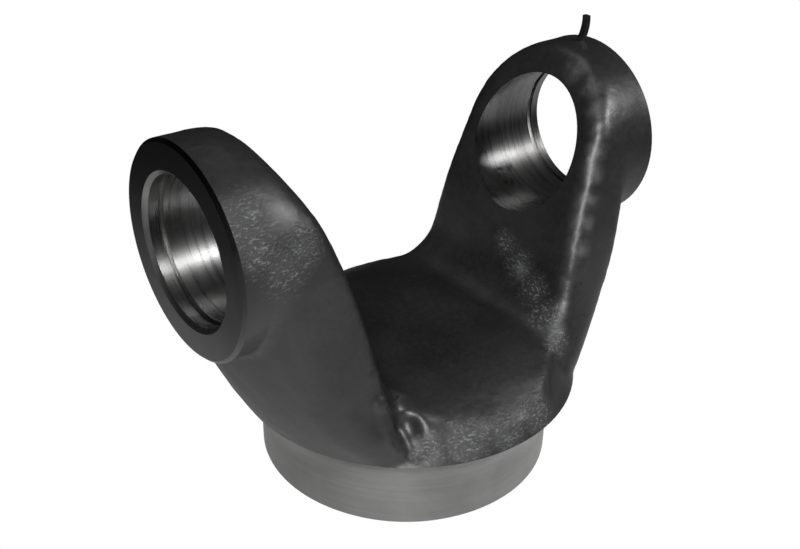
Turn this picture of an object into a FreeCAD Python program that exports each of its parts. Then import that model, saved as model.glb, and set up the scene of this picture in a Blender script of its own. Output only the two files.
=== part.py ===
import FreeCAD, Part
import os
from math import sqrt
import Sketcher
from FreeCAD import Vector

# Driving sizes in millimetres. +Z is the tube's axis, X the axis of the cross bores, and the
# origin is the centre of the pilot's bottom face.
SIZES: dict[str, tuple[float, str]] = {
    "pilot_radius": (39.05, "turned pilot that slides into the tube"),
    "pilot_lead": (1.5, "lead-in chamfer on the pilot's lower edge"),
    "pilot_straight": (11.0, "straight length of the pilot before its flare"),
    "shoulder_radius": (45.3, "shoulder that the tube's end is welded against"),
    "shoulder_height": (24.0, "height of the shoulder's corner"),
    "band_taper": (31.0, "degrees that the forged band above the shoulder leans inward"),
    "floor_height": (36.8, "height of the saddle's floor between the ears"),
    "floor_half_length": (18.0, "half length of the saddle's level floor along Y"),
    "saddle_roll": (40.0, "radius that rolls the floor down at front and back"),
    "right_wall": (29.4, "distance of the right ear's inner face from the tube's axis, at the floor"),
    "left_wall": (26.9, "the same for the left ear, which is forged thicker"),
    "gap_lean": (5.8, "degrees that each ear's inner face leans out at the floor"),
    "gap_flare": (160.0, "radius of the ears' curved inner faces"),
    "gap_round": (10.0, "rounding between the saddle and each ear's inner face"),
    "flank_reach": (59.2, "largest radius of the bowl-shaped flank under each ear"),
    "flank_height": (75.0, "height at which the flank runs upright"),
    "bore_height": (77.2, "height of the cross bores' axis"),
    "bore_radius": (17.4625, "radius of the cross bores, which hold the bearing cups"),
    "bore_lead": (1.0, "lead-in chamfer at each bore's outer end"),
    "face_span": (125.0, "distance between the two machined outer faces"),
    "face_chamfer": (0.8, "chamfer round each machined outer face"),
    "ear_radius": (24.6, "radius of the ears' crowns and of their outer bosses"),
    "ring_lip": (3.3, "metal left outside each snap-ring groove"),
    "ring_width": (1.6, "width of each snap-ring groove"),
    "ring_depth": (1.15, "depth of each snap-ring groove"),
    "foot_half_width": (28.5, "half width of each ear at its foot"),
    "foot_height": (44.0, "height of each ear's foot"),
    "root_half_width": (37.0, "half width of each ear where it meets the shoulder"),
    "root_round": (38.0, "radius that widens each ear from its foot to its root"),
    "recess_mouth": (30.0, "radius of the forged recess at the pilot's bottom face"),
    "recess_end": (22.0, "radius of the forged recess at its blind end"),
    "recess_depth": (22.0, "depth of the forged recess"),
    "recess_slope": (5.0, "size of the slope round the recess's blind end"),
    "spur_place": (55.0, "distance of the flash spur from the tube's axis"),
    "spur_width": (2.4, "width of the flash spur at its foot"),
    "spur_tip": (1.3, "width of the flash spur at its tip"),
    "spur_height": (6.5, "height of the flash spur above the crown"),
    "spur_lean": (3.9, "how far the flash spur's tip leans outward"),
    "spur_bow": (9.0, "radius of the flash spur's curved sides"),
    "spur_thickness": (1.6, "thickness of the flash spur"),
    "inner_round": (5.0, "rounding of the ears' inner edges"),
    "outer_round": (7.0, "rounding of the edges between flank and ear sides"),
}

OVERCUT = "5"  # millimetres that a cutting sketch runs past the metal that it removes
ROLL_ANGLE = 50.0  # degrees that the gap is rolled down, which takes it past the rim
FLARE_STEPS = 4  # straight steps that follow the curve of the pilot's flare
THROUGH = 200.0  # millimetres, longer than the yoke is across, for a cut right through

# Kinds of faces by name, as surface_name gives them.
FACE = {"PlaneX"}
FLANK = {"SurfaceOfRevolution", "CylinderZ"}
SIDE = {"PlaneY", "CylinderX"}

Corner = tuple[str, str]  # a point as two expressions of the sheet's sizes
Arc = tuple[str, int]  # an arc as its radius and 1 to bulge left of the way drawn or -1 right


def make_sheet(document: FreeCAD.Document) -> None:
    """Write every driving size into the spreadsheet "dim", one aliased cell each."""
    sheet = document.addObject("Spreadsheet::Sheet", "dim")
    for row, (alias, (size, note)) in enumerate(SIZES.items(), start=1):
        sheet.set(f"A{row}", alias)
        sheet.set(f"B{row}", str(size))
        sheet.set(f"C{row}", note)
        sheet.setAlias(f"B{row}", alias)
    document.recompute()


def arc_middle(start: Vector, stop: Vector, radius: float, hand: int) -> Vector:
    """Return the middle point of the shorter arc from start to stop."""
    chord = stop - start
    rise = radius - sqrt(max(radius**2 - (chord.Length / 2) ** 2, 0.0))
    left = Vector(-chord.y, chord.x, 0).normalize()
    return (start + stop) / 2 + left * rise * hand


def origin_plane(body, role: str):
    """Return one of the planes of a body's own origin."""
    return next(item for item in body.Origin.OriginFeatures if item.Role == role)


class Outline:
    """A sketch whose corners, arcs and circles are placed by the sheet."""

    def __init__(self, body, name: str, plane_role: str) -> None:
        """Attach an empty sketch to one of the body's own origin planes."""
        self.sketch = body.newObject("Sketcher::SketchObject", name)
        self.sketch.AttachmentSupport = [(origin_plane(body, plane_role), "")]
        self.sketch.MapMode = "FlatFace"

    def value(self, expression: str) -> float:
        """Return what an expression of the sheet's sizes comes to."""
        return float(self.sketch.evalExpression(expression))

    def point(self, corner: Corner) -> Vector:
        """Return the place that a corner's two expressions give."""
        return Vector(self.value(corner[0]), self.value(corner[1]), 0)

    def bind(self, kind: str, *where: int, expression: str) -> None:
        """Add one dimension and bind it to an expression."""
        size = self.value(expression)
        index = self.sketch.addConstraint(Sketcher.Constraint(kind, *where, size))
        self.sketch.renameConstraint(index, f"size{index}")
        self.sketch.setExpression(f"Constraints.size{index}", expression)

    def pin(self, curve: int, end: int, corner: Corner) -> None:
        """Hold one point of a curve at a corner's place."""
        for kind, expression, axis in zip(("DistanceX", "DistanceY"), corner, (-2, -1)):
            if expression == "0":
                on_axis = Sketcher.Constraint("PointOnObject", curve, end, axis)
                self.sketch.addConstraint(on_axis)
            else:
                self.bind(kind, -1, 1, curve, end, expression=expression)

    def end_at(self, curve: int, place: Vector) -> int:
        """Return which end of a curve, 1 or 2, lies at a place."""
        gaps = [(self.sketch.getPoint(curve, end) - place).Length for end in (1, 2)]
        return 1 + gaps.index(min(gaps))

    def loop(self, corners: list[Corner], arcs: dict[int, Arc] | None = None) -> None:
        """Draw a closed outline through corners, with the sides named in arcs as arcs."""
        arcs = arcs or {}
        places = [self.point(corner) for corner in corners]
        sides = []
        for number, (start, stop) in enumerate(zip(places, places[1:] + places[:1])):
            curve = Part.LineSegment(start, stop)
            if number in arcs:
                radius, hand = arcs[number]
                curve = Part.Arc(start, arc_middle(start, stop, self.value(radius), hand), stop)
            sides.append(self.sketch.addGeometry(curve, False))
        for number, side in enumerate(sides):
            end = self.end_at(side, places[number])
            last = sides[number - 1]
            last_end = self.end_at(last, places[number])
            self.sketch.addConstraint(Sketcher.Constraint("Coincident", last, last_end, side, end))
            self.pin(side, end, corners[number])
        for number, (radius, _) in arcs.items():
            self.bind("Radius", sides[number], expression=radius)

    def circle(self, centre: Corner, radius: str) -> None:
        """Draw a full circle."""
        round_curve = Part.Circle(self.point(centre), Vector(0, 0, 1), self.value(radius))
        curve = self.sketch.addGeometry(round_curve, False)
        self.pin(curve, 3, centre)
        self.bind("Radius", curve, expression=radius)

    def axis(self, start: Corner, stop: Corner) -> None:
        """Draw a construction line that a groove turns about."""
        line = Part.LineSegment(self.point(start), self.point(stop))
        curve = self.sketch.addGeometry(line, True)
        self.pin(curve, 1, start)
        self.pin(curve, 2, stop)


def add_feature(body, kind: str, outline: Outline, **settings):
    """Add a PartDesign feature made from an outline, and rebuild the body."""
    feature = body.newObject(f"PartDesign::{kind}", f"{outline.sketch.Name}{kind}")
    feature.Profile = outline.sketch
    for name, setting in settings.items():
        setattr(feature, name, setting)
    outline.sketch.Visibility = False
    body.Document.recompute()
    return feature


def turn(body, kind: str, outline: Outline, axis: str, **settings):
    """Add a feature that turns an outline about one of its sketch's axes."""
    return add_feature(body, kind, outline, ReferenceAxis=(outline.sketch, [axis]), **settings)


def turn_hub(body) -> None:
    """Turn the pilot, its flare and the shoulder, up to the height of the saddle's floor."""
    outline = Outline(body, "Hub", "YZ_Plane")
    rise = "(dim.shoulder_height - dim.pilot_straight)"
    run = "(dim.shoulder_radius - dim.pilot_radius)"
    bend = f"(({rise}^2 + {run}^2) / (2 * {run}))"
    flare = [
        (
            f"dim.pilot_radius + {bend} - sqrt({bend}^2 - ({rise} * {step} / {FLARE_STEPS})^2)",
            f"dim.pilot_straight + {rise} * {step} / {FLARE_STEPS}",
        )
        for step in range(FLARE_STEPS + 1)
    ]
    band_rise = "(dim.floor_height - dim.shoulder_height)"
    outline.loop(
        [
            ("0", "0"),
            ("dim.pilot_radius - dim.pilot_lead", "0"),
            ("dim.pilot_radius", "dim.pilot_lead"),
            *flare,
            (f"dim.shoulder_radius - {band_rise} * tan(dim.band_taper * 1 deg)", "dim.floor_height"),
            ("0", "dim.floor_height"),
        ]
    )
    turn(body, "Revolution", outline, "V_Axis", Angle=360)


def wall_corners(wall: str) -> list[Corner]:
    """Return an ear's inner wall from the floor up, as corners measured away from the axis.

    Args:
        wall: the size that places the wall at the floor's height.
    """
    wall_x = f"(dim.{wall} + dim.gap_flare * cos(dim.gap_lean * 1 deg))"
    wall_z = "(dim.floor_height - dim.gap_flare * sin(dim.gap_lean * 1 deg))"
    round_z = "(dim.floor_height + dim.gap_round)"
    reach = "(dim.gap_flare + dim.gap_round)"
    round_x = f"({wall_x} - sqrt({reach}^2 - ({round_z} - {wall_z})^2))"
    touch_x = f"({round_x} + ({wall_x} - {round_x}) * dim.gap_round / {reach})"
    touch_z = f"({round_z} + ({wall_z} - {round_z}) * dim.gap_round / {reach})"
    top_z = f"(dim.bore_height + dim.ear_radius + {OVERCUT})"
    top_x = f"({wall_x} - sqrt(dim.gap_flare^2 - ({top_z} - {wall_z})^2))"
    return [(round_x, "dim.floor_height"), (touch_x, touch_z), (top_x, top_z)]


def draw_gap(outline: Outline) -> None:
    """Draw the gap across the yoke: level floor, rounded corners, walls that lean outward."""
    left = [(f"-{across}", up) for across, up in reversed(wall_corners("left_wall"))]
    wall, corner = ("dim.gap_flare", 1), ("dim.gap_round", -1)
    outline.loop(wall_corners("right_wall") + left, {0: corner, 1: wall, 3: wall, 4: corner})


def cut_gap(body) -> None:
    """Cut the gap between the ears, rolled down at the front and back of the saddle."""
    level = Outline(body, "Gap", "XZ_Plane")
    draw_gap(level)
    pocket = add_feature(body, "Pocket", level, SideType="Symmetric")
    pocket.setExpression("Length", "2 * dim.floor_half_length")
    rolled = Outline(body, "BackRoll", "XZ_Plane")
    rolled.sketch.setExpression("AttachmentOffset.Base.z", "-dim.floor_half_length")
    body.Document.recompute()
    draw_gap(rolled)
    roll_height = "dim.floor_height - dim.saddle_roll"
    rolled.axis(("0", roll_height), ("dim.gap_round", roll_height))
    groove = turn(body, "Groove", rolled, "Axis0", Angle=ROLL_ANGLE, Reversed=True)
    mirror = body.newObject("PartDesign::Mirrored", "FrontRoll")
    mirror.Originals = [groove]
    mirror.MirrorPlane = (origin_plane(body, "XZ_Plane"), [""])
    body.Tip = mirror
    body.Document.recompute()


def add_ears(body) -> None:
    """Pad both ears at once from their side outline: root, foot, sloping sides and crown."""
    outline = Outline(body, "EarSide", "YZ_Plane")
    sketch = outline.sketch
    root = ("dim.root_half_width", "dim.shoulder_height")
    foot = ("dim.foot_half_width", "dim.foot_height")
    crown = outline.point(("0", "dim.bore_height"))
    radius = outline.value("dim.ear_radius")
    left_root, left_foot = [(f"-{across}", up) for across, up in (root, foot)]
    places = [outline.point(corner) for corner in (left_root, root, foot, left_foot)]
    side_top = crown + Vector(radius, 0, 0)
    left_top = crown - Vector(radius, 0, 0)
    top = crown + Vector(0, radius, 0)
    bend = outline.value("dim.root_round")
    curves = [
        Part.LineSegment(places[0], places[1]),
        Part.Arc(places[1], arc_middle(places[1], places[2], bend, 1), places[2]),
        Part.LineSegment(places[2], side_top),
        Part.Arc(side_top, top, left_top),
        Part.LineSegment(left_top, places[3]),
        Part.Arc(places[3], arc_middle(places[3], places[0], bend, 1), places[0]),
    ]
    starts = [places[0], places[1], places[2], side_top, left_top, places[3]]
    numbers = [sketch.addGeometry(curve, False) for curve in curves]
    for number, place in zip(numbers, starts):
        last = numbers[number - 1]
        ends = (last, outline.end_at(last, place), number, outline.end_at(number, place))
        sketch.addConstraint(Sketcher.Constraint("Coincident", *ends))
    outline.pin(0, 1, left_root)
    outline.pin(0, 2, root)
    outline.pin(2, 1, foot)
    outline.pin(4, 2, left_foot)
    outline.pin(3, 3, ("0", "dim.bore_height"))
    for side in (1, 5):
        outline.bind("Radius", side, expression="dim.root_round")
    outline.bind("Radius", 3, expression="dim.ear_radius")
    for side in (2, 4):
        sketch.addConstraint(Sketcher.Constraint("Tangent", side, 3))
    pad = add_feature(body, "Pad", outline, SideType="Symmetric")
    pad.setExpression("Length", "dim.face_span")
    body.Document.recompute()


def turn_flank(body) -> None:
    """Turn the bowl-shaped flank under both ears, which leaves the bosses' roots standing."""
    outline = Outline(body, "Flank", "YZ_Plane")
    rise = "(dim.flank_height - dim.shoulder_height)"
    run = "(dim.flank_reach - dim.shoulder_radius)"
    clear = f"dim.flank_reach + dim.root_half_width + {OVERCUT}"
    top = f"dim.bore_height + dim.ear_radius + {OVERCUT}"
    outline.loop(
        [
            ("dim.shoulder_radius", "dim.shoulder_height"),
            (clear, "dim.shoulder_height"),
            (clear, top),
            ("dim.flank_reach", top),
            ("dim.flank_reach", "dim.flank_height"),
        ],
        {4: (f"({rise}^2 + {run}^2) / (2 * {run})", 1)},
    )
    turn(body, "Groove", outline, "V_Axis", Angle=360)


def add_bosses(body) -> None:
    """Pad the round boss that carries each machined outer face."""
    outline = Outline(body, "Boss", "YZ_Plane")
    outline.circle(("0", "dim.bore_height"), "dim.ear_radius")
    pad = add_feature(body, "Pad", outline, SideType="Symmetric")
    pad.setExpression("Length", "dim.face_span")
    body.Document.recompute()


def surface_name(face: Part.Face) -> str:
    """Name a face by its kind of surface and, for a plane or cylinder, the axis it keeps to."""
    surface = face.Surface
    kind = surface.TypeId.removeprefix("Part::Geom")
    if kind not in ("Plane", "Cylinder"):
        return kind
    axis = max("XYZ", key=lambda letter: abs(getattr(surface.Axis, letter.lower())))
    return kind + axis


def find_edges(body, first: set[str], second: set[str]) -> list[str]:
    """Return the names of the edges where one kind of face meets another.

    Args:
        body: the body whose shape is searched.
        first: the surface names that one side of the edge may have.
        second: the surface names for the other side.
    """
    found = []
    shape = body.Shape
    for number, edge in enumerate(shape.Edges, start=1):
        names = [surface_name(face) for face in shape.ancestorsOfType(edge, Part.Face)]
        if len(names) == 2:
            one, other = names
            if (one in first and other in second) or (other in first and one in second):
                found.append(f"Edge{number}")
    return found


def dress(body, kind: str, name: str, edges: list[str], **sizes: str) -> None:
    """Fillet or chamfer edges of a body's tip, with each size bound to the sheet."""
    base = body.Tip
    feature = body.newObject(f"PartDesign::{kind}", name)
    feature.Base = (base, edges)
    for size, expression in sizes.items():
        feature.setExpression(size, expression)
    body.Document.recompute()


def bore_ears(body) -> None:
    """Bore both ears through on one axis, with a lead-in and a snap-ring groove in each."""
    outline = Outline(body, "Bore", "YZ_Plane")
    outline.circle(("0", "dim.bore_height"), "dim.bore_radius")
    add_feature(body, "Pocket", outline, SideType="Symmetric", Length=THROUGH)
    dress(body, "Chamfer", "BoreLead", find_edges(body, FACE, {"CylinderX"}), Size="dim.bore_lead")
    rings = Outline(body, "Ring", "XZ_Plane")
    outer = "(dim.face_span / 2 - dim.ring_lip)"
    inner = f"({outer} - dim.ring_width)"
    wall = "dim.bore_height + dim.bore_radius"
    for side in ("", "-"):
        rings.loop(
            [
                (f"{side}{inner}", f"{wall} - dim.ring_depth"),
                (f"{side}{outer}", f"{wall} - dim.ring_depth"),
                (f"{side}{outer}", f"{wall} + dim.ring_depth"),
                (f"{side}{inner}", f"{wall} + dim.ring_depth"),
            ]
        )
    rings.axis(("0", "dim.bore_height"), (outer, "dim.bore_height"))
    turn(body, "Groove", rings, "Axis0", Angle=360)


def add_spur(body) -> None:
    """Pad the small curved spur of flash that stands on one crown."""
    outline = Outline(body, "Spur", "XZ_Plane")
    crown = "(dim.bore_height + dim.ear_radius)"
    foot, tip = f"{crown} - dim.spur_width", f"{crown} + dim.spur_height"
    outline.loop(
        [
            ("dim.spur_place - dim.spur_width / 2", foot),
            ("dim.spur_place + dim.spur_width / 2", foot),
            ("dim.spur_place + dim.spur_lean + dim.spur_tip / 2", tip),
            ("dim.spur_place + dim.spur_lean - dim.spur_tip / 2", tip),
        ],
        {1: ("dim.spur_bow", -1), 3: ("dim.spur_bow", 1)},
    )
    pad = add_feature(body, "Pad", outline, SideType="Symmetric")
    pad.setExpression("Length", "dim.spur_thickness")
    body.Document.recompute()


def cut_recess(body) -> None:
    """Sink the tapered forged recess into the pilot's bottom face."""
    outline = Outline(body, "Recess", "YZ_Plane")
    outline.loop(
        [
            ("0", "0"),
            ("dim.recess_mouth", "0"),
            ("dim.recess_end", "dim.recess_depth - dim.recess_slope"),
            ("dim.recess_end - dim.recess_slope", "dim.recess_depth"),
            ("0", "dim.recess_depth"),
        ]
    )
    turn(body, "Groove", outline, "V_Axis", Angle=360)


def main() -> None:
    """Build the yoke and write its STEP file."""
    document = FreeCAD.newDocument("forged_yoke")
    make_sheet(document)
    body = document.addObject("PartDesign::Body", "Yoke")
    body.Label = "yoke"
    add_ears(body)
    turn_flank(body)
    dress(body, "Fillet", "OuterRound", find_edges(body, FLANK, SIDE), Radius="dim.outer_round")
    add_bosses(body)
    boss_rims = find_edges(body, FACE, {"CylinderX"})
    dress(body, "Chamfer", "FaceChamfer", boss_rims, Size="dim.face_chamfer")
    turn_hub(body)
    cut_gap(body)
    crown_edges = find_edges(body, {"CylinderY"}, {"CylinderX"})
    dress(body, "Fillet", "InnerRound", crown_edges, Radius="dim.inner_round")
    bore_ears(body)
    add_spur(body)
    cut_recess(body)
    for item in document.Objects:
        if {"Invalid", "Error"} & set(item.State):
            raise RuntimeError(f"{item.Name} failed: {item.State}")
    if not body.Shape.isValid() or len(body.Shape.Solids) != 1:
        raise RuntimeError("the yoke isn't one valid solid")
    os.makedirs("parts", exist_ok=True)
    body.Shape.exportStep("parts/yoke.step")


main()
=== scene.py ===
import logging
from dataclasses import dataclass, field
from enum import Enum
from math import cos, radians, sin, sqrt

import bmesh
import bpy
from mathutils import Matrix, Vector, noise

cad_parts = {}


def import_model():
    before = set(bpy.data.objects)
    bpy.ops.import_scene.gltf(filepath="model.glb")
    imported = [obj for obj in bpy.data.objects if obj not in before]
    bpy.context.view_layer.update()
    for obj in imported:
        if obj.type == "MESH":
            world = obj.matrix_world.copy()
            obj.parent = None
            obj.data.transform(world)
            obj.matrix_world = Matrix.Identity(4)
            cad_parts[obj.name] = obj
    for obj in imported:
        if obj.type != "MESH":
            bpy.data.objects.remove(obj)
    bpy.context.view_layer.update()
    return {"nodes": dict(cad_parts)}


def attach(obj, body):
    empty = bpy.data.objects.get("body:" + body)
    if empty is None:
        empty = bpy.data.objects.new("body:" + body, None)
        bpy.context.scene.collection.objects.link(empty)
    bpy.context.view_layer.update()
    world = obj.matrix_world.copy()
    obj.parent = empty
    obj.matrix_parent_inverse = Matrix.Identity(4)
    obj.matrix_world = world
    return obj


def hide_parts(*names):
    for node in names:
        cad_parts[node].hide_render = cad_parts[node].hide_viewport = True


LOG = logging.getLogger("yoke")
MM = 0.001

Point = tuple[float, float, float]
Colour = tuple[float, float, float, float]
Spot = tuple[Point, float]
Socket = bpy.types.NodeSocket

# Sizes that the solid is built to, in metres.
PILOT_RADIUS = 39.05 * MM
PILOT_STRAIGHT = 11 * MM
PILOT_EDGE = 1.6 * MM
RECESS_MOUTH = 30 * MM
SHOULDER_RADIUS = 45.3 * MM
SHOULDER_HEIGHT = 24 * MM
BORE_HEIGHT = 77.2 * MM
BORE_RADIUS = 17.4625 * MM
BORE_START = 30 * MM
RING_START = 55 * MM
RING_REACH = 1.25 * MM
FACE_X = 62.5 * MM
FACE_CHAMFER = 0.85 * MM
EAR_RADIUS = 24.6 * MM
CROWN_HEIGHT = BORE_HEIGHT + EAR_RADIUS
SPUR_HALF_WIDTH = 0.9 * MM


def grey(level: float, warmth: float = 0.0) -> Colour:
    """Return a near-neutral colour."""
    return (level * (1.0 + warmth), level, level * (1.0 - warmth), 1.0)


def held(value: float) -> float:
    """Return a value kept between 0 and 1."""
    return min(1.0, max(0.0, value))


def from_bore(place: Vector) -> Vector:
    """Return the way from the bores' axis straight out to a point."""
    return Vector((0.0, place.y, place.z - BORE_HEIGHT))


class Zone(Enum):
    """The finishes that a face of the yoke can have."""

    FORGED = 0
    BORE = 1
    BOSS_FACE = 2
    PILOT = 3
    SPUR = 4


class Axis(Enum):
    """The axes that tool marks can run round."""

    BORES = "X"
    PILOT = "Z"


@dataclass(frozen=True)
class Lump:
    """A rounded stretch where the forging swells or sinks.

    Args:
        start: one end of the stretch, in millimetres.
        stop: its other end, in millimetres.
        reach: how far it spreads sideways, in millimetres.
        rise: how far its middle stands out, in millimetres.
    """

    start: Point
    stop: Point
    reach: float
    rise: float

    def height(self, place: Vector) -> float:
        """Find how far the lump lifts the skin.

        Args:
            place: a point of the skin, in metres.

        Returns:
            The lift in metres, below 0 where the skin sinks.
        """
        start = Vector(self.start) * MM
        line = (Vector(self.stop) - Vector(self.start)) * MM
        along = held((place - start).dot(line) / line.length_squared)
        away = (place - start - line * along).length / (self.reach * MM)
        return self.rise * MM * max(0.0, 1.0 - away * away) ** 2

    def mirrored(self) -> "Lump":
        """Return the same stretch on the other side of the yoke's middle plane."""
        start, stop = ((x, -y, z) for x, y, z in (self.start, self.stop))
        return Lump(start, stop, self.reach, self.rise)


# The ridge where the left ear runs into the shoulder, and the hollow beside it.
ROOT_LUMPS = (
    Lump((-31.0, -27.6, 47.0), (-30.6, -29.6, 40.5), 3.2, 0.5),
    Lump((-30.6, -29.6, 40.5), (-29.0, -33.6, 28.5), 3.4, 0.9),
    Lump((-24.6, -28.5, 37.5), (-25.4, -31.8, 32.5), 5.0, -1.4),
    Lump((-25.4, -31.8, 32.5), (-24.2, -35.5, 27.5), 4.2, -1.2),
)

# Unevenness down the front inner edge of the right ear.
EDGE_LUMPS = (
    Lump((45.0, -20.0, 89.5), (44.0, -21.5, 86.0), 4.5, 0.40),
    Lump((42.5, -22.8, 82.3), (41.2, -23.6, 78.0), 4.0, -0.20),
    Lump((40.7, -23.9, 76.3), (39.4, -24.8, 71.5), 4.0, 0.35),
    Lump((38.2, -25.4, 66.5), (37.0, -26.0, 62.0), 4.0, 0.30),
    Lump((35.7, -26.5, 57.5), (34.5, -27.0, 53.0), 4.5, 0.30),
)


class Shader:
    """A node material with short calls for the nodes that this scene uses."""

    def __init__(self, name: str) -> None:
        """Start a material with one Principled shader on object coordinates."""
        self.material = bpy.data.materials.new(name)
        self.material.use_nodes = True
        self.tree = self.material.node_tree
        self.shader = self.tree.nodes["Principled BSDF"]
        self.place = self.tree.nodes.new("ShaderNodeTexCoord").outputs["Object"]

    def link(self, source: Socket | float | Point | Colour, target: Socket) -> None:
        """Join an output to an input, or set the input to a plain value."""
        if isinstance(source, Socket):
            self.tree.links.new(source, target)
        else:
            target.default_value = source

    def mapped(self, scale: Point, turn: Point = (0.0, 0.0, 0.0)) -> Socket:
        """Return object coordinates scaled along each axis and turned."""
        node = self.tree.nodes.new("ShaderNodeMapping")
        node.inputs["Scale"].default_value = scale
        node.inputs["Rotation"].default_value = turn
        self.link(self.place, node.inputs["Vector"])
        return node.outputs["Vector"]

    def noise(
        self,
        scale: float,
        detail: float = 4.0,
        rough: float = 0.55,
        vector: Socket | None = None,
    ) -> Socket:
        """Add a noise pattern.

        Args:
            scale: how fine the pattern is.
            detail: how many finer layers it carries.
            rough: how strong those layers are.
            vector: the coordinates it is drawn on, or None for the object's own.

        Returns:
            A value between 0 and 1.
        """
        node = self.tree.nodes.new("ShaderNodeTexNoise")
        node.inputs["Scale"].default_value = scale
        node.inputs["Detail"].default_value = detail
        node.inputs["Roughness"].default_value = rough
        self.link(vector or self.place, node.inputs["Vector"])
        return node.outputs["Fac"]

    def ramp(self, source: Socket, *stops: tuple[float, float]) -> Socket:
        """Map a value through two grey stops, each a position and a level."""
        node = self.tree.nodes.new("ShaderNodeValToRGB")
        for element, (position, level) in zip(node.color_ramp.elements, stops):
            element.position = position
            element.color = grey(level)
        self.link(source, node.inputs["Fac"])
        return node.outputs["Color"]

    def math(
        self,
        operation: str,
        one: Socket | float,
        other: Socket | float,
        clamp: bool = False,
    ) -> Socket:
        """Return one arithmetic step on two values."""
        node = self.tree.nodes.new("ShaderNodeMath")
        node.operation = operation
        node.use_clamp = clamp
        self.link(one, node.inputs[0])
        self.link(other, node.inputs[1])
        return node.outputs["Value"]

    def mix(self, factor: Socket, one: Socket | Colour, other: Socket | Colour) -> Socket:
        """Return a blend of two colours, by a factor."""
        node = self.tree.nodes.new("ShaderNodeMix")
        node.data_type = "RGBA"
        self.link(factor, node.inputs["Factor"])
        # The node's colour sockets come after its value and vector sockets.
        self.link(one, node.inputs[6])
        self.link(other, node.inputs[7])
        return node.outputs[2]

    def ball(self, centre: Point, reach: float) -> Socket:
        """Fade out round a point of the object.

        Args:
            centre: the point, in millimetres.
            reach: how far from it the value gets to 0, in millimetres.

        Returns:
            A value that is 1 at the point and falls smoothly to 0.
        """
        away = self.tree.nodes.new("ShaderNodeVectorMath")
        away.operation = "SUBTRACT"
        self.link(self.place, away.inputs[0])
        away.inputs[1].default_value = tuple(size * MM for size in centre)
        length = self.tree.nodes.new("ShaderNodeVectorMath")
        length.operation = "LENGTH"
        self.link(away.outputs["Vector"], length.inputs[0])
        ranged = self.tree.nodes.new("ShaderNodeMapRange")
        ranged.interpolation_type = "SMOOTHSTEP"
        self.link(length.outputs["Value"], ranged.inputs["Value"])
        ranged.inputs["From Min"].default_value = 0.0
        ranged.inputs["From Max"].default_value = reach * MM
        ranged.inputs["To Min"].default_value = 1.0
        ranged.inputs["To Max"].default_value = 0.0
        return ranged.outputs["Result"]

    def spread(self, spots: tuple[Spot, ...]) -> Socket | float:
        """Return 1 near any of some spots, falling to 0 at each one's reach."""
        most = 0.0
        for centre, reach in spots:
            most = self.math("MAXIMUM", self.ball(centre, reach), most)
        return most

    def bump(
        self,
        height: Socket,
        strength: float,
        distance: float,
        below: Socket | None = None,
    ) -> Socket:
        """Bend the normal by a height.

        Args:
            height: the height, between 0 and 1.
            strength: how much of the bend is kept.
            distance: how deep a height of 1 is, in millimetres.
            below: another normal that this one lies over.

        Returns:
            The bent normal.
        """
        node = self.tree.nodes.new("ShaderNodeBump")
        node.inputs["Strength"].default_value = strength
        node.inputs["Distance"].default_value = distance * MM
        self.link(height, node.inputs["Height"])
        if below is not None:
            self.link(below, node.inputs["Normal"])
        return node.outputs["Normal"]

    def finish(self, **inputs: Socket | float) -> bpy.types.Material:
        """Set the Principled shader's inputs by name and return the material."""
        for name, source in inputs.items():
            self.link(source, self.shader.inputs[name.replace("_", " ")])
        return self.material


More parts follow.
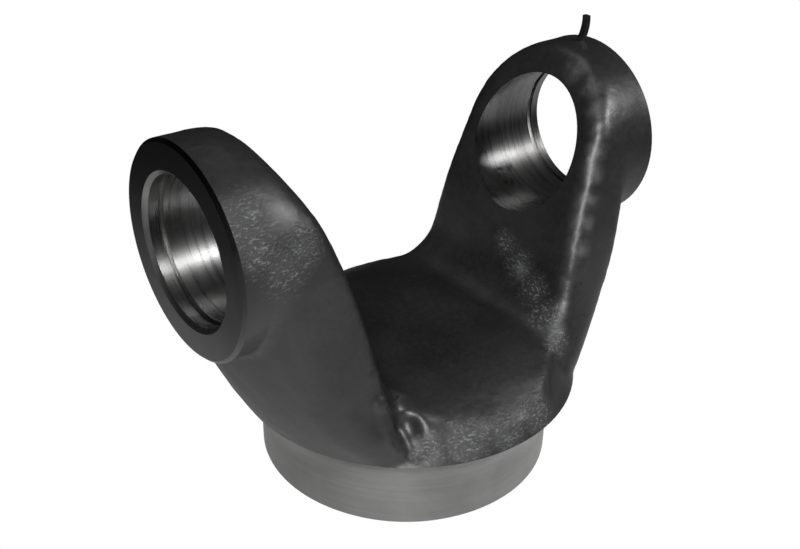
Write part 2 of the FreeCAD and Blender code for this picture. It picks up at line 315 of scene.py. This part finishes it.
@dataclass(frozen=True)
class ForgedFinish:
    """Dark forging scale, lightened in rough patches of blasted metal partly as painted
    highlight, with painted highlights along the right ear's edges.

    Args:
        name: the material's name.
        dark: the darkest scale.
        light: the lightest scale.
        rough: the roughness of the smoothest scale.
        gloss: how strongly the scale mirrors.
        scars_and_highlights: places and reaches of rough patches of blasted metal, lightened
            partly as painted highlight, in millimetres.
        painted_highlights: places and reaches of painted highlights, mostly down the right ear's
            front inner edge, in millimetres.
        scar_and_highlight_tone: the grey that a rough patch tends to, lighter partly as painted
            highlight.
        fleck_tone: the grey of the bare flecks in a rough patch.
        highlight_tone: the grey that a painted highlight tends to.
    """

    name: str = "forged_steel"
    dark: float = 0.010
    light: float = 0.026
    rough: float = 0.33
    gloss: float = 0.75
    # Rough patches of blasted metal, lightened partly as painted highlight.
    scars_and_highlights: tuple[Spot, ...] = (
        ((-58.0, -19.5, 91.0), 10.0),
        ((-57.5, -22.5, 85.5), 8.0),
        ((-52.0, -24.0, 81.0), 9.0),
        ((-47.0, -23.5, 84.0), 8.0),
        ((31.0, -4.0, 51.0), 6.0),
        ((30.8, -10.0, 47.5), 7.5),
        ((30.0, -17.0, 43.5), 7.0),
        ((28.0, -24.0, 39.5), 7.0),
        ((26.2, -30.4, 35.0), 5.5),
        ((-22.5, -37.2, 27.5), 7.0),
        ((-13.0, -40.5, 28.0), 9.0),
        ((-3.0, -43.0, 27.5), 8.0),
        ((8.0, -42.5, 27.5), 8.0),
    )
    # Painted highlights, mostly down the right ear's front inner edge.
    painted_highlights: tuple[Spot, ...] = (
        ((48.5, -7.0, 97.6), 5.0),
        ((47.3, -14.0, 95.0), 4.5),
        ((45.7, -18.7, 90.9), 4.5),
        ((44.4, -21.0, 87.0), 4.5),
        ((42.5, -22.8, 82.3), 4.0),
        ((40.7, -23.9, 76.3), 4.0),
        ((39.1, -25.0, 70.2), 4.0),
        ((37.4, -25.7, 63.9), 4.2),
        ((35.7, -26.5, 57.5), 4.5),
        ((27.2, -28.0, 37.0), 4.0),
        ((30.6, -11.5, 46.0), 4.0),
    )
    scar_and_highlight_tone: Colour = grey(0.075, -0.02)
    fleck_tone: Colour = grey(0.30, -0.03)
    highlight_tone: Colour = grey(0.25, -0.02)

    def material(self) -> bpy.types.Material:
        """Build the node material."""
        shade = Shader(self.name)
        broad = shade.noise(38.0, 3.0)
        grain = shade.noise(700.0, 5.0, 0.62)
        scale = shade.noise(2300.0, 3.0, 0.6)
        # Rough patches of blasted metal; their lightening is partly painted highlight.
        scar_and_highlight = shade.spread(self.scars_and_highlights)
        # Painted highlights, broken up in patches below.
        highlight = shade.spread(self.painted_highlights)
        drawn = shade.mapped((900.0, 900.0, 1900.0), (0.5, 0.7, 0.0))
        torn = shade.noise(1.0, 6.0, 0.70, drawn)
        flecks = shade.math("MULTIPLY", scar_and_highlight, shade.ramp(torn, (0.53, 0.0), (0.63, 1.0)))
        patchy = shade.ramp(shade.noise(260.0, 4.0, 0.6), (0.38, 0.25), (0.62, 1.0))
        highlight = shade.math("MULTIPLY", highlight, patchy)

        tone = shade.math(
            "ADD", shade.math("MULTIPLY", broad, 0.7), shade.math("MULTIPLY", grain, 0.3)
        )
        tone = shade.ramp(tone, (0.36, 0.0), (0.66, 1.0))
        base = shade.mix(tone, grey(self.dark, 0.01), grey(self.light))
        # Lighten the rough patches, partly as painted highlight.
        base = shade.mix(shade.math("MULTIPLY", scar_and_highlight, 0.30), base, self.scar_and_highlight_tone)
        base = shade.mix(shade.math("MULTIPLY", flecks, 0.60), base, self.fleck_tone)
        # Lay on the painted highlights.
        base = shade.mix(shade.math("MULTIPLY", highlight, 0.35), base, self.highlight_tone)

        rough = shade.math("ADD", self.rough, shade.math("MULTIPLY", grain, 0.14))
        rough = shade.math("ADD", rough, shade.math("MULTIPLY", scar_and_highlight, 0.06))
        normal = shade.bump(scale, 0.12, 0.08)
        normal = shade.bump(grain, 0.16, 0.25, normal)
        normal = shade.bump(shade.math("MULTIPLY", scar_and_highlight, torn), 0.65, 0.55, normal)
        shade.shader.inputs["Specular IOR Level"].default_value = self.gloss
        return shade.finish(Base_Color=base, Roughness=rough, Normal=normal)


@dataclass(frozen=True)
class TurnedFinish:
    """Bright steel with fine tool marks that run round one axis.

    Args:
        name: the material's name.
        axis: the axis that the marks run round.
        dark: the darkest metal colour.
        light: the lightest metal colour.
        rough: the roughness between the tool marks.
        marks: how deep the tool marks look.
        dark_spots: places and reaches of spots darkened nearly to black, in millimetres.
        painted_shade_heights: heights between which the metal is painted darker upwards as
            painted shade, in millimetres.
    """

    name: str
    axis: Axis
    dark: float
    light: float
    rough: float
    marks: float
    dark_spots: tuple[Spot, ...] = ()
    painted_shade_heights: tuple[float, float] | None = None

    def marked(self, shade: Shader, across: float, along: float) -> Socket:
        """Add noise that is drawn out along the way that the tool went.

        Args:
            shade: the material.
            across: how fine the noise is across the marks.
            along: how fine it is along them.

        Returns:
            A value between 0 and 1.
        """
        scale = (along, along, across)
        if self.axis is Axis.BORES:
            scale = (across, along, along)
        return shade.noise(1.0, 2.0, 0.5, shade.mapped(scale))

    def falling(self, shade: Shader, tone: Socket) -> Socket:
        """Return a tone painted down to dark towards the top of the metal, as painted shade."""
        low, high = (size * MM for size in self.painted_shade_heights)
        level = shade.tree.nodes.new("ShaderNodeSeparateXYZ")
        shade.link(shade.place, level.inputs["Vector"])
        depth = shade.math("SUBTRACT", high, level.outputs["Z"])
        share = shade.math("MULTIPLY", depth, 1.0 / (high - low), clamp=True)
        mottle = shade.math("ADD", 0.7, shade.math("MULTIPLY", tone, 0.3))
        return shade.math("MULTIPLY", share, mottle)

    def material(self) -> bpy.types.Material:
        """Build the node material."""
        shade = Shader(self.name)
        lines = self.marked(shade, 7000.0, 30.0)
        bands = self.marked(shade, 1100.0, 45.0)
        cloud = shade.noise(55.0, 4.0, 0.6)
        tone = shade.math(
            "ADD", shade.math("MULTIPLY", cloud, 0.7), shade.math("MULTIPLY", bands, 0.3)
        )
        tone = shade.ramp(tone, (0.38, 0.0), (0.64, 1.0))
        # Painted shade: the metal darkens towards its top.
        if self.painted_shade_heights is not None:
            tone = self.falling(shade, tone)
        base = shade.mix(tone, grey(self.dark, 0.01), grey(self.light, 0.008))
        # Darken some spots nearly to black.
        for centre, reach in self.dark_spots:
            blot = shade.ramp(shade.noise(700.0), (0.40, 0.0), (0.52, 1.0))
            darkening = shade.math("MULTIPLY", shade.ball(centre, reach), blot)
            base = shade.mix(shade.math("MULTIPLY", darkening, 0.92), base, grey(0.015))
        rough = shade.math("ADD", self.rough, shade.math("MULTIPLY", bands, 0.08))
        normal = shade.bump(lines, self.marks, 0.02)
        normal = shade.bump(bands, self.marks * 0.5, 0.05, normal)
        return shade.finish(Base_Color=base, Roughness=rough, Normal=normal, Metallic=1.0)


@dataclass
class YokeMesh:
    """The solid's mesh, refined so that it can carry the forging's unevenness.

    Args:
        source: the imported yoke, whose own mesh stays as it is.
        edge_length: the longest edge after refining, in metres.
        smooth_rounds: how often the whole mesh is smoothed.
        forged_rounds: how often the forged skin is smoothed after that.
        sharp: the angle from which a machined edge is kept, in degrees.
        creased: the angle from which an edge is shaded sharp, in degrees.
        swell: how much fuller the left boss is, in metres.
        skin: each layer of unevenness, its fineness, offset and height in metres.
        lumps: where the forging swells or sinks.
    """

    source: bpy.types.Object
    edge_length: float = 1.3 * MM
    smooth_rounds: int = 6
    forged_rounds: int = 4
    sharp: float = 22
    creased: float = 32
    swell: float = 0.8 * MM
    skin: tuple[tuple[float, Point, float], ...] = (
        (60.0, (0.0, 0.0, 0.0), 0.25 * MM),
        (190.0, (7.0, 3.0, 1.0), 0.09 * MM),
        (520.0, (2.0, 9.0, 4.0), 0.03 * MM),
    )
    lumps: tuple[Lump, ...] = ()
    mesh: bmesh.types.BMesh = field(init=False)

    def zone_of(self, face: bmesh.types.BMFace) -> Zone:
        """Return the finish of one of the solid's own faces, by where it lies."""
        middle = face.calc_center_median()
        lowest = min(vert.co.z for vert in face.verts)
        widest = max(from_bore(vert.co).length for vert in face.verts)
        on_crown = lowest > CROWN_HEIGHT - 0.3 * MM and abs(middle.y) < SPUR_HALF_WIDTH
        if on_crown and middle.z > CROWN_HEIGHT + 0.2 * MM:
            return Zone.SPUR
        in_bore = abs(middle.x) > BORE_START and widest < BORE_RADIUS + RING_REACH
        if in_bore and (abs(middle.x) > RING_START or abs(face.normal.x) < 0.4):
            return Zone.BORE if abs(middle.x) < FACE_X - 0.05 * MM else Zone.BOSS_FACE
        if abs(middle.x) > FACE_X - FACE_CHAMFER:
            return Zone.BOSS_FACE
        outside = middle.xy.length > RECESS_MOUTH + 0.2 * MM
        if outside and middle.z < SHOULDER_HEIGHT - 0.02 * MM:
            return Zone.PILOT
        return Zone.FORGED

    def build(self) -> None:
        """Merge, mark, refine, smooth and roughen the mesh."""
        self.mesh = bmesh.new()
        self.mesh.from_mesh(self.source.data)
        bmesh.ops.remove_doubles(self.mesh, verts=self.mesh.verts, dist=0.002 * MM)
        for face in self.mesh.faces:
            face.material_index = self.zone_of(face).value
            face.smooth = True
        self.refine()
        self.settle()
        self.swell_left_boss()
        self.roughen()

    def refine(self) -> None:
        """Split long edges until the mesh is even enough to bend."""
        for _ in range(9):
            long = [edge for edge in self.mesh.edges if edge.calc_length() > self.edge_length]
            if not long:
                break
            bmesh.ops.subdivide_edges(self.mesh, edges=long, cuts=1, use_grid_fill=False)
            many = [face for face in self.mesh.faces if len(face.verts) > 3]
            bmesh.ops.triangulate(self.mesh, faces=many)
        LOG.info("refined to %d faces", len(self.mesh.faces))

    def pinned(self, vert: bmesh.types.BMVert) -> bool:
        """Return whether a point is on a sharp edge of machined metal."""
        zones = {face.material_index for face in vert.link_faces}
        if zones == {Zone.FORGED.value}:
            return False
        if len(zones) > 1:
            return True
        return any(
            edge.is_manifold and edge.calc_face_angle(0.0) > radians(self.sharp)
            for edge in vert.link_edges
        )

    def settle(self) -> None:
        """Smooth away the solid's facets, and soften the forging's own edges further."""
        free = [vert for vert in self.mesh.verts if not self.pinned(vert)]
        forged = [
            vert for vert in free if vert.link_faces[0].material_index == Zone.FORGED.value
        ]
        for group, rounds in ((free, self.smooth_rounds), (forged, self.forged_rounds)):
            for _ in range(rounds):
                bmesh.ops.smooth_vert(
                    self.mesh,
                    verts=group,
                    factor=0.5,
                    use_axis_x=True,
                    use_axis_y=True,
                    use_axis_z=True,
                )
        self.true_up(free)

    def true_up(self, verts: list[bmesh.types.BMVert]) -> None:
        """Put machined points back on their exact cylinder or flare."""
        rise, run = SHOULDER_HEIGHT - PILOT_STRAIGHT, SHOULDER_RADIUS - PILOT_RADIUS
        bend = (rise**2 + run**2) / (2 * run)
        nearest = PILOT_RADIUS - 3.05 * MM
        for vert in verts:
            zone = vert.link_faces[0].material_index
            place = vert.co
            if zone == Zone.PILOT.value and place.z > PILOT_EDGE:
                climb = max(0.0, place.z - PILOT_STRAIGHT)
                wanted = PILOT_RADIUS + bend - sqrt(bend**2 - climb**2)
                now = place.xy.length
                if now > nearest:
                    place.x, place.y = place.x * wanted / now, place.y * wanted / now
            elif zone == Zone.BORE.value:
                across = from_bore(place)
                if abs(across.length - BORE_RADIUS) < 0.25 * MM:
                    across = across.normalized() * BORE_RADIUS
                    place.y, place.z = across.y, across.z + BORE_HEIGHT

    def swell_left_boss(self) -> None:
        """Widen the left boss a little, as it is forged fuller than the right one."""
        for vert in self.mesh.verts:
            across = from_bore(vert.co)
            nearness = held((-vert.co.x - 45 * MM) / (9 * MM))
            rim = held((across.length - 20 * MM) / (4 * MM))
            vert.co += across.normalized() * self.swell * nearness * rim

    def bare(self, place: Vector) -> float:
        """Return how free the forged skin is to move at a point, 0 at machined edges."""
        above = held((place.z - SHOULDER_HEIGHT + 0.2 * MM) / (2.5 * MM))
        outside = held((from_bore(place).length - BORE_RADIUS) / (2 * MM))
        inside = held((FACE_X - 0.8 * MM - abs(place.x)) / (2 * MM))
        return above * outside * inside

    def roughen(self) -> None:
        """Raise broad and small unevenness on the forged skin, fading at machined edges."""
        self.mesh.normal_update()
        moves = []
        for vert in self.mesh.verts:
            if any(face.material_index != Zone.FORGED.value for face in vert.link_faces):
                continue
            place = vert.co
            if place.z > CROWN_HEIGHT + 0.5 * MM:
                continue
            height = sum(
                noise.noise(place * fineness + Vector(offset)) * tall
                for fineness, offset, tall in self.skin
            )
            height += sum(lump.height(place) for lump in self.lumps)
            moves.append((vert, vert.normal.copy() * height * self.bare(place)))
        for vert, move in moves:
            vert.co += move

    def piece(self, name: str, zone: Zone, side: int = 0) -> bpy.types.Object:
        """Make an object of the faces of one finish.

        Args:
            name: the piece's name.
            zone: the finish whose faces it takes.
            side: -1 or 1 for the faces of one ear only, 0 for all.

        Returns:
            The new object, linked to the scene.
        """
        part = self.mesh.copy()
        other = [
            face
            for face in part.faces
            if face.material_index != zone.value or side * face.calc_center_median().x < 0
        ]
        bmesh.ops.delete(part, geom=other, context="FACES")
        for face in part.faces:
            face.material_index = 0
        for edge in part.edges:
            bent = edge.is_manifold and edge.calc_face_angle(0.0) > radians(self.creased)
            edge.smooth = not bent
        data = bpy.data.meshes.new(name)
        part.to_mesh(data)
        part.free()
        piece = bpy.data.objects.new(name, data)
        bpy.context.scene.collection.objects.link(piece)
        LOG.info("%s: %d faces", name, len(data.polygons))
        return piece


@dataclass
class Yoke:
    """The whole yoke: its forged body and the machined surfaces in it.

    Args:
        node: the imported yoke.
        honed: the finish of the bores.
        faced: the finish of the bosses' outer faces.
        turned: the finish of the pilot and its flare.
        forged: the finish of the forged skin.
        flash: the finish of the spur.
    """

    node: bpy.types.Object
    honed: TurnedFinish = TurnedFinish(
        "honed_bore",
        Axis.BORES,
        dark=0.20,
        light=0.36,
        rough=0.24,
        marks=0.12,
        dark_spots=(((42.5, 11.5, 64.2), 3.2), ((46.0, 11.3, 64.0), 2.2), ((43.0, 8.4, 61.9), 2.6)),
    )
    faced: TurnedFinish = TurnedFinish(
        "faced_boss",
        Axis.BORES,
        dark=0.012,
        light=0.26,
        rough=0.36,
        marks=0.35,
        # The boss faces carry painted shade, darker towards the top.
        painted_shade_heights=(52.0, 88.0),
    )
    turned: TurnedFinish = TurnedFinish(
        "turned_pilot", Axis.PILOT, dark=0.26, light=0.34, rough=0.34, marks=0.25
    )
    forged: ForgedFinish = ForgedFinish()
    flash: ForgedFinish = ForgedFinish(
        "spur_scale", dark=0.004, light=0.009, scars_and_highlights=(), painted_highlights=()
    )

    def build(self) -> None:
        """Make every piece and give it its finish."""
        backs = tuple(lump.mirrored() for lump in ROOT_LUMPS)
        shape = YokeMesh(source=self.node, lumps=ROOT_LUMPS + backs + EDGE_LUMPS)
        shape.build()
        honed, faced = self.honed.material(), self.faced.material()
        turned, forged = self.turned.material(), self.forged.material()
        flash = self.flash.material()
        plan = (
            ("forging", Zone.FORGED, 0, forged, "forged_steel"),
            ("left_bore", Zone.BORE, -1, honed, "machined_steel"),
            ("right_bore", Zone.BORE, 1, honed, "machined_steel"),
            ("left_face", Zone.BOSS_FACE, -1, faced, "machined_steel"),
            ("right_face", Zone.BOSS_FACE, 1, faced, "machined_steel"),
            ("pilot", Zone.PILOT, 0, turned, "machined_steel"),
            ("spur", Zone.SPUR, 0, flash, "forged_steel"),
        )
        for name, zone, side, material, slot in plan:
            piece = shape.piece(name, zone, side)
            piece.data.materials.append(material)
            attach(piece, "root")
            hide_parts("yoke")
        shape.mesh.free()


@dataclass(frozen=True)
class Panel:
    """A soft rectangular light.

    Args:
        name: the light's name.
        place: where it stands, in metres.
        size: its width and height, in metres.
        power: its power in watts.
        aim: the point that it faces, in metres.
    """

    name: str
    place: Point
    size: tuple[float, float]
    power: float
    aim: Point = (0.0, 0.0, 0.06)

    def build(self) -> None:
        """Add the light to the scene."""
        data = bpy.data.lights.new(self.name, "AREA")
        data.shape = "RECTANGLE"
        data.size, data.size_y = self.size
        data.energy = self.power
        lamp = bpy.data.objects.new(self.name, data)
        lamp.location = self.place
        facing = Vector(self.aim) - Vector(self.place)
        lamp.rotation_euler = facing.to_track_quat("-Z", "Y").to_euler()
        bpy.context.scene.collection.objects.link(lamp)


@dataclass(frozen=True)
class Studio:
    """Camera, floor, background and lights.

    Args:
        azimuth: how far the camera is turned round from the front, in degrees.
        elevation: how far it looks down, in degrees.
        roll: how far it leans, in degrees.
        offset: the yoke's origin seen from the camera, across, up and ahead, in metres.
        lens: the focal length, in millimetres.
        floor_size: half the floor's width, in metres.
        painted_pool_reach: how far from the yoke the floor's painted pool of light reaches, in
            millimetres.
        surround: how strongly the surround lights the yoke.
        panels: the lights.
    """

    azimuth: float = 38.9
    elevation: float = 30.08
    roll: float = 1.05
    offset: Point = (0.000918, -0.043558, 0.304334)
    lens: float = 48.5352
    floor_size: float = 3.0
    painted_pool_reach: float = 340.0
    surround: float = 0.03
    panels: tuple[Panel, ...] = (
        Panel("right_window", (0.42, -0.50, 0.55), (0.14, 0.18), 2.8),
        Panel("strip", (-0.52, -0.54, 0.36), (0.07, 0.62), 6.0),
        Panel("top", (-0.05, 0.20, 0.80), (0.40, 0.40), 0.5),
    )

    def build(self) -> None:
        """Set up everything around the object."""
        self.add_camera()
        self.add_floor()
        self.add_world()
        for panel in self.panels:
            panel.build()

    def add_camera(self) -> None:
        """Place the camera at its azimuth, elevation, roll and distance."""
        turn, rise, lean = radians(self.azimuth), radians(self.elevation), radians(self.roll)
        back = Vector((-sin(turn) * cos(rise), -cos(turn) * cos(rise), sin(rise)))
        right = (-back).cross(Vector((0, 0, 1))).normalized()
        up = right.cross(-back)
        across = right * cos(lean) + up * sin(lean)
        upward = up * cos(lean) - right * sin(lean)
        aside, above, ahead = self.offset
        place = back * ahead - across * aside - upward * above
        data = bpy.data.cameras.new("camera")
        data.lens = self.lens
        data.sensor_width = 36
        data.clip_start = 0.01
        camera = bpy.data.objects.new("camera", data)
        axes = Matrix((across, upward, back)).transposed().to_4x4()
        camera.matrix_world = Matrix.Translation(place) @ axes
        bpy.context.scene.collection.objects.link(camera)
        bpy.context.scene.camera = camera

    def add_floor(self) -> None:
        """Add the pale floor: white to the camera, and to other rays a painted pool of light,
        bright round the yoke and dark further out.
        """
        mesh = bmesh.new()
        bmesh.ops.create_grid(mesh, x_segments=1, y_segments=1, size=self.floor_size)
        data = bpy.data.meshes.new("floor")
        mesh.to_mesh(data)
        mesh.free()
        floor = bpy.data.objects.new("floor", data)
        shade = Shader("floor")
        # Painted pool of light: the floor's colour is bright round the yoke and dark further
        # out.
        near = shade.ball((0.0, 0.0, 0.0), self.painted_pool_reach)
        shade.finish(Base_Color=shade.mix(near, grey(0.03), grey(0.9)), Roughness=0.9)
        glow = shade.tree.nodes.new("ShaderNodeEmission")
        glow.inputs["Color"].default_value = grey(1.0)
        path = shade.tree.nodes.new("ShaderNodeLightPath")
        choose = shade.tree.nodes.new("ShaderNodeMixShader")
        shade.link(path.outputs["Is Camera Ray"], choose.inputs["Fac"])
        shade.link(shade.shader.outputs["BSDF"], choose.inputs[1])
        shade.link(glow.outputs["Emission"], choose.inputs[2])
        output = shade.tree.nodes["Material Output"]
        shade.link(choose.outputs["Shader"], output.inputs["Surface"])
        data.materials.append(shade.material)
        bpy.context.scene.collection.objects.link(floor)

    def add_world(self) -> None:
        """Show white behind the object, and light it with a dim surround."""
        world = bpy.data.worlds.new("surround")
        world.use_nodes = True
        bpy.context.scene.world = world
        tree = world.node_tree
        tree.nodes.clear()
        output = tree.nodes.new("ShaderNodeOutputWorld")
        seen = tree.nodes.new("ShaderNodeBackground")
        seen.inputs["Color"].default_value = grey(1.0)
        light = tree.nodes.new("ShaderNodeBackground")
        light.inputs["Color"].default_value = grey(1.0)
        light.inputs["Strength"].default_value = self.surround
        path = tree.nodes.new("ShaderNodeLightPath")
        choose = tree.nodes.new("ShaderNodeMixShader")
        tree.links.new(path.outputs["Is Camera Ray"], choose.inputs["Fac"])
        tree.links.new(light.outputs["Background"], choose.inputs[1])
        tree.links.new(seen.outputs["Background"], choose.inputs[2])
        tree.links.new(choose.outputs["Shader"], output.inputs["Surface"])
        bpy.context.scene.view_settings.view_transform = "Standard"


def main() -> None:
    """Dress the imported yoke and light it."""
    logging.basicConfig(level=logging.INFO)
    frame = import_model()
    Studio().build()
    Yoke(frame["nodes"]["yoke"]).build()


if __name__ == "__main__":
    main()
